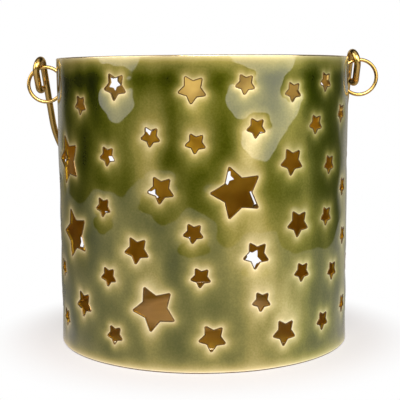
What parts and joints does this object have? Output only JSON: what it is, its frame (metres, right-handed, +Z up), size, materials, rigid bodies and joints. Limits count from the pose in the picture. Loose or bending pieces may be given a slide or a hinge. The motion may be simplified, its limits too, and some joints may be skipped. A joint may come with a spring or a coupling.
{
  "type": "punched tin lantern",
  "caption": "Open-topped round tin candle lantern pierced with stars, green enamel outside and gold inside, with a folding brass wire bail hooked in split rings at the rim.",
  "frame": {"origin": "on the axis of the shell, in the plane of the foot that the lantern stands on", "axes": "+Z up along the axis of the shell, +X towards the right-hand ring, and the front faces -Y"},
  "size_m": [0.1254, 0.1057, 0.1028],
  "materials": {
    "green_enamel": "glossy translucent olive green enamel over gold lacquered tin, thin at every edge",
    "gold_lacquer": "satin gold lacquer on tin plate",
    "brass_wire": "polished drawn wire"
  },
  "bodies": {
    "lantern": {"shell": "green_enamel", "base_pan": "gold_lacquer"},
    "ring_left": {"ring_left": "brass_wire"},
    "ring_right": {"ring_right": "brass_wire"},
    "bail": {"bail": "brass_wire"}
  },
  "joints": [
    {"name": "bail_swing", "type": "hinge", "parent": "lantern", "child": "bail", "pos_m": [-0.002, 0, 0.09771], "axis": [0.9999, 0, 0.0167], "range_deg": [0, 279]},
    {"name": "ring_left_swing", "type": "hinge", "parent": "lantern", "child": "ring_left", "pos_m": [-0.0511, 0, 0.091], "axis": [0, 0, 1], "range_deg": [-4, 4]},
    {"name": "ring_right_swing", "type": "hinge", "parent": "lantern", "child": "ring_right", "pos_m": [0.0511, 0, 0.0928], "axis": [0, 0, 1], "range_deg": [-4, 4]}
  ]
}
